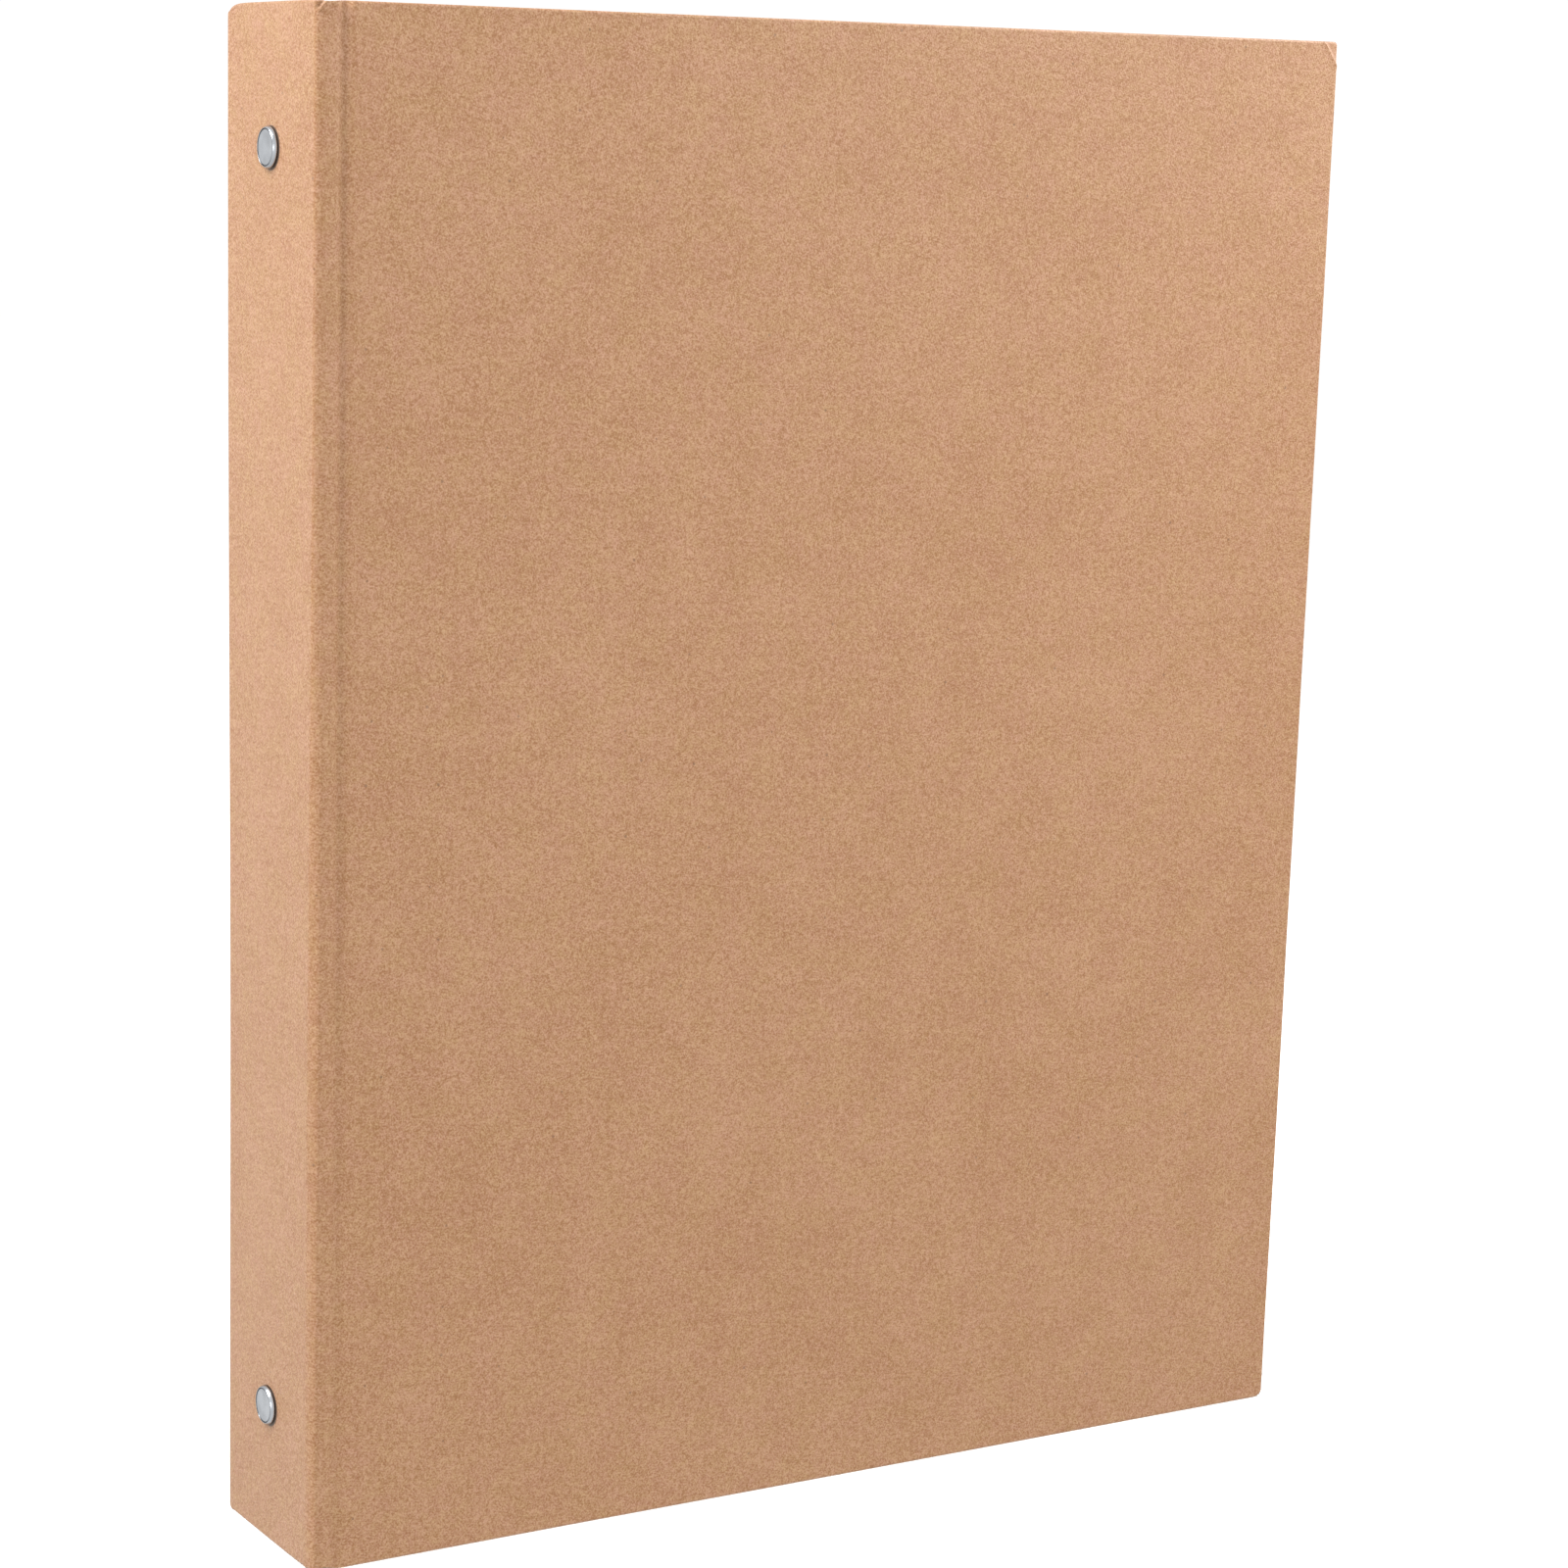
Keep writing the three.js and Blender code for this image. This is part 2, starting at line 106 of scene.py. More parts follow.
# The small ridge where the paper is pinched at a crease's end: its x at the low end and at the paper's
# edge, its reach from the edge and its height.
PINCHES = {
    (FRONT, "bottom"): (1.2 * MM, 3.4 * MM, 1.6 * MM, 0.14 * MM),
    (FRONT, "top"): (0.6 * MM, 2.3 * MM, 2.1 * MM, 0.42 * MM),
    (BACK, "bottom"): (1.0 * MM, 2.6 * MM, 1.8 * MM, 0.22 * MM),
    (BACK, "top"): (0.9 * MM, 3.0 * MM, 2.4 * MM, 0.30 * MM),
}
# The wrap's fold over a cover's corner: its step at each end, how far from the corner its line meets the
# cover's end and its fore edge, and how far the line passes from the corner.
MITRE_STEPS = {"bottom": 0.05 * MM, "top": 0.24 * MM}
MITRE_REACH = (3.9 * MM, 5.4 * MM)
MITRE_DEPTH = 3.1 * MM
FOLD_CHANGE = (0.02, 0.92)  # parts of the height between which the folds change from bottom to top
PAINTED_EDGE_SHADE_WIDTH = 0.4 * MM  # of the strip of painted shade along the wrap's top and fore edges
INSIDE_LAYER = 40.0  # how far the inside face lies from the outside in the paper's texture, in mm

# ---------- steps of the sheets' meshes ----------

# Along the plan, from the spine's middle to the fore edge.
SPINE_STEPS = 14
SPINE_EDGE_STEPS = 10
CREASE_STEPS = 14
STRIP_STEPS = 14
GROOVE_STEPS = 8
BOARD_START_STEPS = 10
LINING_BOARD_START_STEPS = 12
COVER_STEPS = 58
TURN_IN_STEPS = 4
COVER_END_STEPS = 5
FORE_STEPS = 22
FORE_EDGE_STEPS = 10
CREASE_POINTS, STRIP_POINTS = 31, 25  # of the curves that are then cut into those steps
ROWS_NEAR_END, ROWS_AT_TURN_IN, ROWS_BETWEEN = 20, 4, 62  # up a sheet


# ---------- small helpers ----------

def smoothstep(low, high, value):
    """0 on low's side, 1 on high's side, smooth between; low may be the larger of the two."""
    t = np.clip((value - low) / (high - low), 0, 1)
    return t * t * (3 - 2 * t)


def arc(centre, radius, start_deg, end_deg, steps=8):
    """Points round part of a circle in the plan."""
    angles = np.radians(np.linspace(start_deg, end_deg, steps + 1))
    return [(centre[0] + radius * math.cos(a), centre[1] + radius * math.sin(a)) for a in angles]


def resample(path, count):
    """count + 1 points at even spacing along a polyline, both ends included."""
    points = np.array(path, float)
    along = np.concatenate([[0], np.cumsum(np.linalg.norm(np.diff(points, axis=0), axis=1))])
    at = np.linspace(0, along[-1], count + 1)
    return np.column_stack([np.interp(at, along, points[:, 0]), np.interp(at, along, points[:, 1])])


def stations(sections, side):
    """Joins sections of (outer path, inner path, count) into matching outer and inner point lists."""
    index = 0 if side == "outer" else 1
    parts = [resample(section[index], section[2]) for section in sections]
    return np.concatenate([parts[0]] + [part[1:] for part in parts[1:]])


def mesh_object(name, vertices, faces, material):
    """A new smooth-shaded object in the scene."""
    mesh = bpy.data.meshes.new(name)
    mesh.from_pydata([tuple(v) for v in vertices], [], faces)
    mesh.polygons.foreach_set("use_smooth", [True] * len(mesh.polygons))
    mesh.materials.append(material)
    mesh.update()
    thing = bpy.data.objects.new(name, mesh)
    bpy.context.scene.collection.objects.link(thing)
    return thing


def point_attribute(thing, name, values):
    """Writes a number or a vector for each vertex, for the materials to read."""
    data = np.array(values, np.float32)
    kind, field = ("FLOAT", "value") if data.ndim == 1 else ("FLOAT_VECTOR", "vector")
    attribute = thing.data.attributes.new(name, kind, "POINT")
    attribute.data.foreach_set(field, data.ravel())


# ---------- materials ----------

MIX_INPUTS, MIX_RESULT = (0, 6, 7), 2  # sockets of a Mix node: factor and two colours, and their mix


class Nodes:
    """Short ways to add and link shader nodes."""

    def __init__(self, name):
        self.material = bpy.data.materials.new(name)
        self.material.use_nodes = True
        self.tree = self.material.node_tree
        self.shader = self.tree.nodes["Principled BSDF"]

    def add(self, kind, **settings):
        node = self.tree.nodes.new(kind)
        for key, value in settings.items():
            setattr(node, key, value)
        return node

    def link(self, source, target):
        self.tree.links.new(source, target)

    def math(self, operation, a, b=0.0, c=None):
        node = self.add("ShaderNodeMath", operation=operation)
        for slot, value in enumerate((a, b) if c is None else (a, b, c)):
            if isinstance(value, (int, float)):
                node.inputs[slot].default_value = value
            else:
                self.link(value, node.inputs[slot])
        return node.outputs[0]

    def noise(self, vector, scale, detail=2.0, roughness=0.5):
        node = self.add("ShaderNodeTexNoise")
        self.link(vector, node.inputs["Vector"])
        node.inputs["Scale"].default_value = scale
        node.inputs["Detail"].default_value = detail
        node.inputs["Roughness"].default_value = roughness
        return node

    def ramp(self, value, low, high):
        """0 below low, 1 above high, smooth between."""
        node = self.add("ShaderNodeMapRange", interpolation_type="SMOOTHSTEP")
        self.link(value, node.inputs["Value"])
        node.inputs["From Min"].default_value = low
        node.inputs["From Max"].default_value = high
        return node.outputs["Result"]

    def stretched(self, vector, turn_deg, along, across):
        """The vector turned in the sheet and scaled so that noise makes short strokes."""
        node = self.add("ShaderNodeMapping", vector_type="TEXTURE")
        self.link(vector, node.inputs["Vector"])
        node.inputs["Rotation"].default_value = (0, 0, math.radians(turn_deg))
        node.inputs["Scale"].default_value = (along, across, 1)
        return node.outputs["Vector"]

    def without_layer(self, vector):
        """The sheet's vector with its layer left out."""
        node = self.add("ShaderNodeVectorMath", operation="MULTIPLY")
        self.link(vector, node.inputs[0])
        node.inputs[1].default_value = (1, 1, 0)
        return node.outputs["Vector"]

    def mix(self, factor, a, b, blend="MIX"):
        """Mixes two colours; the factor and the colours are values or outputs of nodes."""
        node = self.add("ShaderNodeMix", data_type="RGBA", blend_type=blend)
        for socket, value in zip(MIX_INPUTS, (factor, a, b)):
            if isinstance(value, (int, float)):
                node.inputs[socket].default_value = value
            elif isinstance(value, tuple):
                node.inputs[socket].default_value = (*value, 1)
            else:
                self.link(value, node.inputs[socket])
        return node.outputs[MIX_RESULT]

    def add_bump(self, height, strength, distance):
        """Lets a height, up to distance in metres, bend the shader's normals."""
        node = self.add("ShaderNodeBump")
        node.inputs["Strength"].default_value = strength
        node.inputs["Distance"].default_value = distance
        self.link(height, node.inputs["Height"])
        self.link(node.outputs["Normal"], self.shader.inputs["Normal"])


def kraft_material(name, base, contrast):
    """Kraft paper: felted fibres, soft mottling and clouds, a few pale hairs and dark specks, with
    painted shadow round the rivets' heads and along the wrap's top and fore edges.

    The texture is laid out on the flat sheet, in millimetres, from the attribute 'sheet'.
    """
    n = Nodes(name)
    sheet = n.add("ShaderNodeAttribute", attribute_name="sheet").outputs["Vector"]
    painted_edge_shade = n.add("ShaderNodeAttribute", attribute_name="painted_edge_shade").outputs["Fac"]

    def shade(amount):
        """The base colour, lighter or darker by nearly the same step in each channel."""
        return tuple(max(0.01, c + amount * step) for c, step in zip(base, (1.0, 0.77, 0.58)))

    def field(vector, scale, detail, gain):
        """Noise as a signed field round 0."""
        return n.math("MULTIPLY_ADD", n.noise(vector, scale, detail).outputs["Fac"], gain, -gain / 2)

    felt = 0.0
    for turn in (14, 58, 103, 149):
        felt = n.math("ADD", felt, field(n.stretched(sheet, turn, 1.25, 0.33), 1.0, 1.0, 1.2))
    grain = field(sheet, 2.3, 1.5, 1.5)
    mottle = field(sheet, 0.5, 2.0, 0.75)
    cloud = field(sheet, 0.1, 2.0, 0.42)
    broad = field(sheet, 0.02, 2.0, 0.34)
    relief = n.math("ADD", felt, grain)
    tone = 0.5
    for part in (relief, mottle, cloud, broad):
        tone = n.math("ADD", tone, part)
    colour = n.mix(tone, shade(-contrast), shade(contrast))

    rosy = (1.0, 0.955, 1.06)
    green = (0.985, 1.03, 0.90)
    for scale, amount in ((0.7, 0.45), (0.14, 0.5)):
        tint = n.noise(sheet, scale, detail=1.5).outputs["Fac"]
        colour = n.mix(n.math("MULTIPLY", n.ramp(tint, 0.46, 0.70), amount), colour, rosy, "MULTIPLY")
        colour = n.mix(n.math("MULTIPLY", n.ramp(tint, 0.54, 0.30), amount), colour, green, "MULTIPLY")

    def strokes(turn, length, width, low, high):
        """Where noise that is stretched into hairs rises from low to high."""
        hair = n.noise(n.stretched(sheet, turn, length, width), 1.0, detail=1.0)
        return n.ramp(hair.outputs["Fac"], low, high)

    for turn, length in ((33, 2.6), (-41, 2.0), (86, 2.3)):
        hairs = strokes(turn, length, 0.24, 0.68, 0.78)
        colour = n.mix(n.math("MULTIPLY", hairs, 0.55), colour, shade(0.12))
        relief = n.math("MULTIPLY_ADD", hairs, 0.25, relief)
    dark_hairs = strokes(-12, 1.4, 0.26, 0.70, 0.80)
    colour = n.mix(n.math("MULTIPLY", dark_hairs, 0.4), colour, shade(-0.09))

    cells = n.add("ShaderNodeTexVoronoi", feature="F1", voronoi_dimensions="2D")
    n.link(sheet, cells.inputs["Vector"])
    speck_spacing = 15  # mm
    cells.inputs["Scale"].default_value = 1 / speck_spacing
    chance = n.add("ShaderNodeSeparateColor")
    n.link(cells.outputs["Color"], chance.inputs["Color"])
    chosen = n.math("GREATER_THAN", chance.outputs["Red"], 0.55)
    radius = n.math("MULTIPLY_ADD", chance.outputs["Green"], 0.012, 0.010)
    speck = n.math("MULTIPLY", n.math("LESS_THAN", cells.outputs["Distance"], radius), chosen)
    colour = n.mix(n.math("MULTIPLY", speck, 0.5), colour, tuple(c * 0.35 for c in base))

    # Painted contact shadow on the paper: a thin dark ring round each rivet's head, widest towards the
    # front cover and below.
    shade_offset = (-0.45, -0.1)
    shade_radius, head_radius = 4.5, 4.15
    for z in RIVET_ZS:
        seat = n.add("ShaderNodeVectorMath", operation="DISTANCE")
        n.link(n.without_layer(sheet), seat.inputs[0])
        seat.inputs[1].default_value = (shade_offset[0], z / MM + shade_offset[1], 0)
        painted_contact_shadow = n.ramp(seat.outputs["Value"], shade_radius, head_radius)
        colour = n.mix(n.math("MULTIPLY", painted_contact_shadow, 0.9), colour, tuple(c * 0.12 for c in base))

    # Painted shade: the paper is darkened in patches along the wrap's top and fore edges.
    patchy = n.math("MULTIPLY", painted_edge_shade, n.ramp(n.noise(sheet, 0.09, 3.0).outputs["Fac"], 0.25, 0.75))
    colour = n.mix(n.math("MULTIPLY", patchy, 0.4), colour, tuple(c * 0.5 for c in base))
    n.link(colour, n.shader.inputs["Base Color"])

    n.shader.inputs["Roughness"].default_value = 0.5
    n.shader.inputs["Specular IOR Level"].default_value = 0.45
    n.shader.inputs["Sheen Weight"].default_value = 0.07
    n.shader.inputs["Sheen Roughness"].default_value = 0.6
    n.add_bump(relief, strength=0.6, distance=0.05 * MM)
    return n.material


def nickel_material(name, colour, roughness, scratch_scale, unevenness, painted_recess_shade_on=False):
    """Nickel plate with faint scratches, a little unevenness in its gloss and, when asked, painted shade
    in its recesses.
    """
    n = Nodes(name)
    place = n.add("ShaderNodeTexCoord").outputs["Object"]
    fine = n.noise(place, scratch_scale, detail=4.0, roughness=0.7).outputs["Fac"]
    broad = n.noise(place, 260, detail=2.0).outputs["Fac"]
    dull, bright = (tuple(c * (1 + step * unevenness) for c in colour) for step in (-1, 1))
    tone = n.mix(n.ramp(broad, 0.3, 0.7), dull, bright)
    if painted_recess_shade_on:
        # Painted shade: near black in the groove inside a rivet head's rim and round the head's seat on
        # the paper.
        painted_recess_shade = n.add("ShaderNodeAttribute", attribute_name="painted_recess_shade").outputs["Fac"]
        tone = n.mix(n.math("MULTIPLY", painted_recess_shade, 0.95), tone, (0.05, 0.05, 0.055))
    n.link(tone, n.shader.inputs["Base Color"])
    n.shader.inputs["Metallic"].default_value = 1.0
    gloss = n.math("MULTIPLY_ADD", fine, 0.7 * unevenness, roughness - 0.2 * unevenness)
    n.link(gloss, n.shader.inputs["Roughness"])
    n.add_bump(fine, strength=0.12, distance=0.02 * MM)
    return n.material


def board_material():
    """Raw grey board, hidden under the paper but for a corner beside an open crease."""
    n = Nodes("grey_board")
    place = n.add("ShaderNodeTexCoord").outputs["Object"]
    grain = n.noise(place, 900, detail=4.0, roughness=0.7).outputs["Fac"]
    colour = n.mix(n.ramp(grain, 0.3, 0.7), (0.20, 0.17, 0.13), (0.30, 0.26, 0.20))
    n.link(colour, n.shader.inputs["Base Color"])
    n.shader.inputs["Roughness"].default_value = 0.95
    return n.material


kraft = kraft_material("kraft_paper", base=(0.337, 0.171, 0.080), contrast=0.078)
lining = kraft_material("kraft_lining", base=(0.345, 0.184, 0.096), contrast=0.055)
rivet_metal = nickel_material("rivet_nickel", (0.42, 0.437, 0.46), 0.24, 2500, 0.14, painted_recess_shade_on=True)
steel = nickel_material("plated_steel", (0.58, 0.58, 0.575), 0.17, 1800, 0.04)
grey_board = board_material()


# ---------- the paper-covered boards ----------

def crease_path(fold, offset, below=1.0):
    """Round the crease, from the spine's face to the joint strip, offset inwards.

    Only the points at depths under below are kept.
    """
    (radius_x, radius_y), strip = fold["radii"], fold["strip"]
    angles = np.radians(np.linspace(180, 270, CREASE_POINTS))
    points = np.column_stack([radius_x + (radius_x - offset) * np.cos(angles),
                              strip + radius_y + (radius_y - offset) * np.sin(angles)])
    return points[points[:, 1] < below]


def strip_path(fold, offset, start_x, end_x):
    """Along the joint strip and its groove, offset inwards."""
    groove_x, groove_depth = fold["groove"]
    x = np.linspace(start_x, end_x, STRIP_POINTS)
    press = 0.5 + 0.5 * np.cos(math.pi * np.clip((x - groove_x) / GROOVE_HALF_WIDTH, -1, 1))
    level = fold["strip"] * (1 - smoothstep(groove_x, groove_x + GROOVE_HALF_WIDTH, x))
    depth = level + (groove_depth - fold["strip"]) * press ** 1.2
    return np.column_stack([x, depth + offset])


def flat_spans(end_x):
    """A cover's flat part up to end_x, as (start, stop, count), finest at the turned-in paper's edge."""
    low, high = (WIDTH - TURN_IN + way * 1.5 * TURN_IN_SLOPE for way in (-1, 1))
    return [(COVER_FLAT_X, low, COVER_STEPS), (low, high, TURN_IN_STEPS), (high, end_x, COVER_END_STEPS)]


def board_sections(fold):
    """Plan of half the spine and a cover, from the spine's middle on.

    It is a list of (outer path, inner path, count).
    """
    deep, edge = COVER_THICKNESS, SPINE_BOARD_EDGE
    corner = crease_path(fold, 0)
    inner_corner = crease_path(fold, PAPER, below=edge - 0.05 * MM)
    strip_x, groove_x = fold["radii"][0], fold["groove"][0]
    flat_x = groove_x + GROOVE_HALF_WIDTH
    fore_x = WIDTH - FORE_ZONE
    flat_end = WIDTH - 3 * EDGE_RADIUS
    edge_x = WIDTH - EDGE_RADIUS
    return [
        ([(0, FACE), (0, SPINE_FLAT_END)], [(deep, FACE), (deep, SPINE_FLAT_END)], SPINE_STEPS),
        ([(0, SPINE_FLAT_END), corner[0]],
         [(deep, SPINE_FLAT_END), (deep, edge + 0.25 * MM), (deep - 0.25 * MM, edge),
          (PAPER + 0.4 * MM, edge - 0.05 * MM), inner_corner[0]], SPINE_EDGE_STEPS),
        (corner, inner_corner, CREASE_STEPS),
        *[(strip_path(fold, 0, start, stop), strip_path(fold, PAPER, start, stop), count)
          for start, stop, count in ((strip_x, groove_x, STRIP_STEPS), (groove_x, flat_x, GROOVE_STEPS))],
        ([(flat_x, 0), (COVER_FLAT_X, 0)],
         [(flat_x, PAPER), (BOARD_X - 0.1 * MM, PAPER + 0.05 * MM), (BOARD_X, 2 * PAPER),
          (BOARD_X, deep - 0.3 * MM), (BOARD_X + 0.3 * MM, deep), (COVER_FLAT_X, deep)],
         BOARD_START_STEPS),
        *[([(start, 0), (stop, 0)], [(start, deep), (stop, deep)], count)
          for start, stop, count in flat_spans(fore_x)],
        ([(fore_x, 0), (flat_end, 0)], [(fore_x, deep), (flat_end, deep)], FORE_STEPS),
        ([(flat_end, 0), *arc((edge_x, EDGE_RADIUS), EDGE_RADIUS, -90, 0), (WIDTH, deep / 2)],
         [(flat_end, deep), *arc((edge_x, deep - EDGE_RADIUS), EDGE_RADIUS, 90, 0), (WIDTH, deep / 2)],
         FORE_EDGE_STEPS),
    ]


def lining_sections(fold):
    """Plan of the lining paper, which lies on the inside of everything above."""
    strip_x, groove_x = fold["radii"][0], fold["groove"][0]
    flat_x = groove_x + GROOVE_HALF_WIDTH
    spans = flat_spans(WIDTH - LINER_MARGIN)
    sides = []
    for gap in (LINER_GAP, LINER_GAP + LINER):
        deep, edge, offset = COVER_THICKNESS + gap, SPINE_BOARD_EDGE - gap, PAPER + gap
        corner = crease_path(fold, offset, below=edge - 0.05 * MM)
        sides.append([
            [(deep, FACE), (deep, SPINE_FLAT_END)],
            [(deep, SPINE_FLAT_END), (deep, edge + 0.25 * MM), (deep - 0.25 * MM, edge),
             (offset + 0.5 * MM, edge - 0.05 * MM), corner[0]],
            corner,
            strip_path(fold, offset, strip_x, groove_x),
            strip_path(fold, offset, groove_x, flat_x),
            [(flat_x, offset), (BOARD_X - 0.1 * MM - gap, offset + 0.05 * MM),
             (BOARD_X - gap, offset + PAPER), (BOARD_X - gap, deep - 0.3 * MM),
             (BOARD_X + 0.3 * MM, deep), (COVER_FLAT_X, deep)],
            *[[(start, deep), (stop, deep)] for start, stop, _ in spans],
        ])
    counts = (SPINE_STEPS, SPINE_EDGE_STEPS, CREASE_STEPS, STRIP_STEPS, GROOVE_STEPS,
              LINING_BOARD_START_STEPS, *[count for _, _, count in spans])
    return list(zip(*sides, counts))


def end_rise(side, end, along_spine, x):
    """How far short of the boards' ends the paper stops, at a place on the way round the crease.

    along_spine is the depth beyond the crease on the spine's face, and x the distance on the strip.
    """
    height, reach = RISES[side, end]
    return height * min(math.exp(-along_spine / reach), 1 - smoothstep(*RISE_FADE_X, x))


def board_warp(u, z):
    """A slow, slight unevenness of a pasted board, in metres."""
    broad = noise.noise(Vector((u / 0.11, z / 0.13, 3.7)))
    close = noise.noise(Vector((u / 0.035, z / 0.04, 9.1)))
    return 0.16 * MM * broad + 0.05 * MM * close


def fore_edge_wave(side, x, z):
    """A slight waviness of a cover's fore edge, along x."""
    wave = noise.noise(Vector((z / 0.028, side * 2.0, 5.3)))
    return 0.12 * MM * wave * smoothstep(0.6 * WIDTH, WIDTH, x)


def bump(distance, width):
    """A smooth hill round distance 0, of height 1."""
    return math.exp(-(distance / width) ** 2)


def pinch(side, end, x, reach):
    """Outward shift of the paper near a crease's end; reach is the distance from that end."""
    low_x, edge_x, length, height = PINCHES[side, end]
    if reach > 3 * length or x > COVER_FLAT_X:
        return 0.0
    along = Vector((edge_x - low_x, -length)).normalized()
    away = Vector((x - low_x, reach - length))
    past = away.dot(along)
    beside = away.x * along.y - away.y * along.x  # positive on the spine's side of the ridge
    # A narrow ridge with a valley beside it, a low bulge on the strip, and a nick by the board's corner.
    on_ridge = smoothstep(-0.5 * MM, 0.5 * MM, past)
    ridge = on_ridge * (bump(beside, 0.24 * MM) - 0.8 * bump(beside - 0.5 * MM, 0.26 * MM))
    bulge = 0.6 * bump(x - 4.4 * MM, 0.9 * MM) * bump(reach, 1.8 * MM)
    nick = 1.2 * bump(x - 7.2 * MM, 0.5 * MM) * bump(reach, 0.6 * MM)
    return height * (ridge + bulge - nick)


def mitre(end, x, reach):
    """Outward shift at a cover's corner, where the wrap is folded over the board's corner."""
    across = (WIDTH - x) / MITRE_REACH[0] + reach / MITRE_REACH[1] - 1
    if across > 1:
        return 0.0
    distance = across * MITRE_DEPTH
    return MITRE_STEPS[end] * (bump(distance, 0.32 * MM) - smoothstep(0.4 * MM, -0.4 * MM, distance))


def turn_in(x, z):
    """How much thicker a cover is inside its edges, where the paper is folded over."""
    edge = min(WIDTH - x, z, HEIGHT - z)
    inside_paper = smoothstep(TURN_IN + TURN_IN_SLOPE, TURN_IN - TURN_IN_SLOPE, edge)
    thicker = inside_paper * smoothstep(0, 1.5 * MM, edge)
    return TURN_IN_STEP * thicker * smoothstep(COVER_FLAT_X, COVER_FLAT_X + 2 * MM, x)


def row_places(low, high):
    """Places of the rows up a sheet, as parts of its height.

    They are close together near its ends and at the turned-in paper's edge.
    """
    near = 7 * MM * np.linspace(0, 1, ROWS_NEAR_END) ** 1.5
    step = TURN_IN + TURN_IN_SLOPE * np.linspace(-1.5, 1.5, ROWS_AT_TURN_IN)
    between = np.linspace(low + near[-1], high - near[-1], ROWS_BETWEEN)[1:-1]
    places = np.sort(np.concatenate([low + near, between, high - near, step, HEIGHT - step]))
    return (places - low) / (high - low)


def sheet_loop(rows, bottom, top, radius):
    """Once round a station of a sheet: (face, inward, z), where face is 0 outside and 1 inside.

    inward is the distance in from the outer face, or past the inner one.
    """
    places = bottom + radius + rows * (top - bottom - 2 * radius)
    # The ends are rounded by quarter turns, here as the sine and cosine of each step.
    quarter = [(math.sin(a), math.cos(a)) for a in np.linspace(0, math.pi / 2, 5)]
    up = [(0, 0.0, z) for z in places]
    up += [(0, radius * (1 - cos), top - radius + radius * sin) for sin, cos in quarter[1:]]
    up += [(1, radius * (sin - 1), top - radius + radius * cos) for sin, cos in quarter]
    down = [(1, 0.0, z) for z in places[::-1][1:]]
    down += [(1, radius * (cos - 1), bottom + radius - radius * sin) for sin, cos in quarter[1:]]
    down += [(0, radius * (1 - sin), bottom + radius - radius * cos) for sin, cos in quarter[:-1]]
    return up + down


def folded_sheet(name, plan, side, material, low_z, high_z, edge_radius, wraps):
    """A closed sheet with rounded edges: every station of the plan is one loop in an upright plane.

    wraps says that the sheet is the wrapping paper, with its short ends at the creases and its folds.
    """
    paths = {end: (stations(plan(fold), "outer"), stations(plan(fold), "inner"))
             for end, fold in FOLDS.items()}
    middle = (paths["bottom"][0] + paths["top"][0]) / 2
    along = np.concatenate([[0], np.cumsum(np.linalg.norm(np.diff(middle, axis=0), axis=1))])
    far_x = middle[-1][0]
    rows = row_places(low_z, high_z)
    vertices, sheet, painted_edge_shade = [], [], []
    for place in range(len(middle)):
        low_out, low_in = (path[place] for path in paths["bottom"])
        high_out, high_in = (path[place] for path in paths["top"])
        ends = {}
        for end, out_point in (("bottom", low_out), ("top", high_out)):
            radius = CORNER_RADII[end] if wraps else 0.5 * MM
            past = min(max(0.0, out_point[0] - (far_x - radius)), radius)
            ends[end] = radius - math.sqrt(radius ** 2 - past ** 2)
            if wraps:
                beyond = max(0.0, out_point[1] - FOLDS[end]["strip"] - 0.5 * MM)
                ends[end] += end_rise(side, end, beyond, out_point[0])
        thin = min(np.linalg.norm(low_in - low_out), np.linalg.norm(high_in - high_out))
        radius = min(edge_radius, 0.49 * thin)
        for face, inward, z in sheet_loop(rows, low_z + ends["bottom"], high_z - ends["top"], radius):
            level = smoothstep(FOLD_CHANGE[0] * HEIGHT, FOLD_CHANGE[1] * HEIGHT, z)
            out_point = low_out + (high_out - low_out) * level
            across = low_in + (high_in - low_in) * level - out_point
            thickness = np.linalg.norm(across)
            share = face + (inward / thickness if thickness else 0.0)  # of the way from the outer face
            px, depth = out_point + across * share
            outward = board_warp(along[place], z) * smoothstep(COVER_FLAT_X, 30 * MM, px)
            if wraps:
                for end, reach in (("bottom", z - low_z), ("top", high_z - z)):
                    outward += pinch(side, end, px, reach) * (depth < SPINE_FLAT_END)
                    outward += mitre(end, px, reach) * (1 - face)
            if face == 1 or not wraps:
                outward -= turn_in(px, z)
            fore_shift = fore_edge_wave(side, px, z)
            vertices.append((SPINE_X + px + fore_shift, side * (FACE - depth + outward), z))
            layer = INSIDE_LAYER if thickness and share > 0.5 else 0.0
            sheet.append((side * along[place] / MM, z / MM, layer))
            # Painted shade, strongest at the wrap's top and fore edges and fading inwards.
            edge = min(high_z - z, far_x - px) if wraps else 1.0
            painted_edge_shade.append(math.exp(-max(0.0, edge) / PAINTED_EDGE_SHADE_WIDTH))
    ring = len(vertices) // len(middle)
    faces = []
    for place in range(len(middle) - 1):
        for i in range(ring):
            a, b = place * ring + i, place * ring + (i + 1) % ring
            quad = (a, b, b + ring, a + ring)
            faces.append(quad if side == BACK else quad[::-1])
    last = (len(middle) - 1) * ring
    cap = [last + i for i in range(ring)]
    faces.append(cap if side == BACK else cap[::-1])
    sheet_object = mesh_object(name, vertices, faces, material)
    point_attribute(sheet_object, "sheet", sheet)
    point_attribute(sheet_object, "painted_edge_shade", painted_edge_shade)
    return sheet_object


def bend_with_cover(sheet_object):
    """Bakes the sheet's placement into its mesh."""
    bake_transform(sheet_object)


